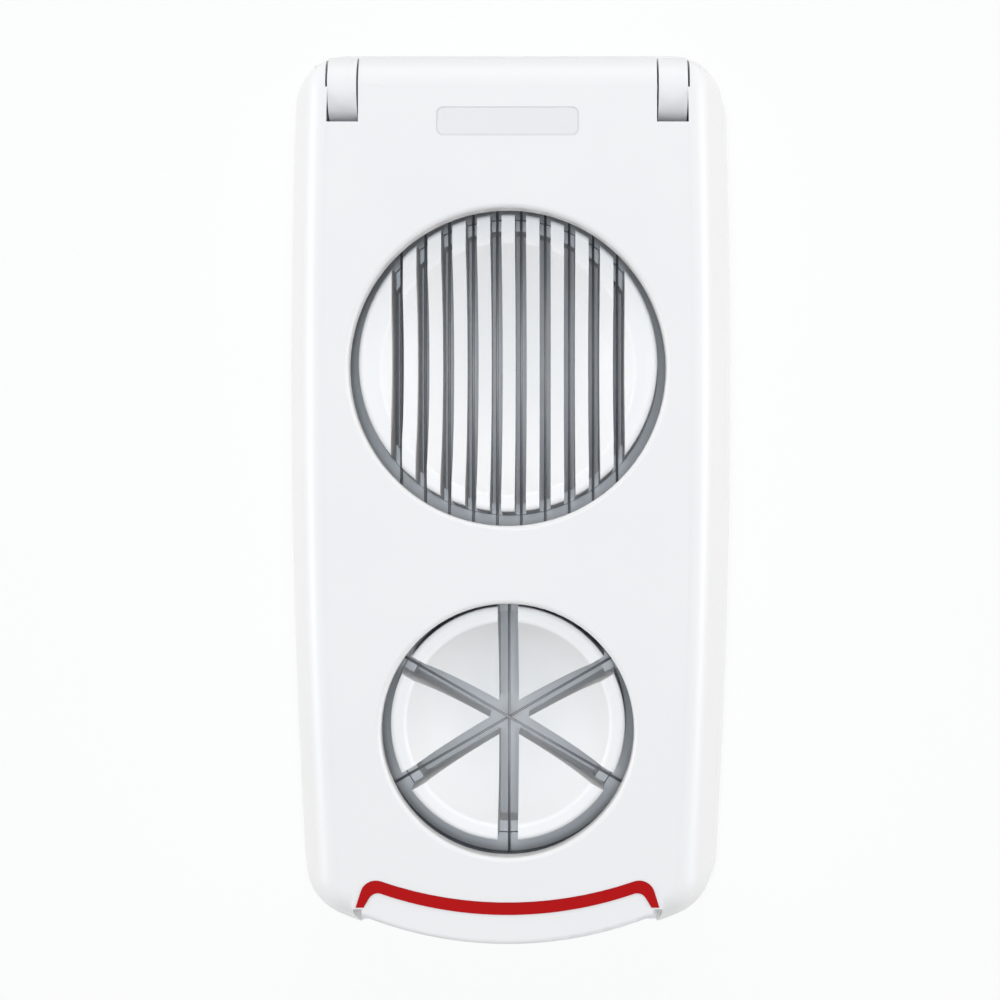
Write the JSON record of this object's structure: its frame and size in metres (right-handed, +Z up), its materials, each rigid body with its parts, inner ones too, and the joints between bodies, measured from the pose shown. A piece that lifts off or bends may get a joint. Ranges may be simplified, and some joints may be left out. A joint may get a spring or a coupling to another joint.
{
  "type": "egg slicer",
  "caption": "Hinged two-station egg slicer: a lid strung with steel wires swings over slotted bowls that cut boiled eggs into slices or wedges.",
  "frame": {"origin": "under the middle of the closed slicer, at the undersides of the feet", "axes": "+Z up, +Y towards the hinge, -Y towards the thumb tab, +X right as seen from the tab"},
  "size_m": [0.0954, 0.1856, 0.0362],
  "materials": {
    "shell_plastic": "satin white",
    "cup_plastic": "satin white",
    "frame_plastic": "satin white",
    "red_plastic": "satin red",
    "wire_steel": "drawn",
    "pin_steel": "drawn",
    "foot_rubber": "matte"
  },
  "bodies": {
    "base": {"base_shell": "shell_plastic", "slicing_cup": "cup_plastic", "wedging_cup": "cup_plastic", "foot_front_left": "foot_rubber", "foot_front_right": "foot_rubber", "foot_rear_left": "foot_rubber", "foot_rear_right": "foot_rubber"},
    "lid": {"lid_shell": "shell_plastic", "wire_frame": "frame_plastic", "grip_inlay": "red_plastic", "hinge_pin_left": "pin_steel", "hinge_pin_right": "pin_steel", "slicing_wire_01": "wire_steel", "slicing_wire_02": "wire_steel", "slicing_wire_03": "wire_steel", "slicing_wire_04": "wire_steel", "slicing_wire_05": "wire_steel", "slicing_wire_06": "wire_steel", "slicing_wire_07": "wire_steel", "slicing_wire_08": "wire_steel", "slicing_wire_09": "wire_steel", "slicing_wire_10": "wire_steel", "wedging_wire_1": "wire_steel", "wedging_wire_2": "wire_steel", "wedging_wire_3": "wire_steel"}
  },
  "joints": [
    {"name": "lid_hinge", "type": "hinge", "parent": "base", "child": "lid", "pos_m": [0, 0.08055, 0.0293], "axis": [-1, 0, 0], "range_deg": [0, 110]}
  ]
}
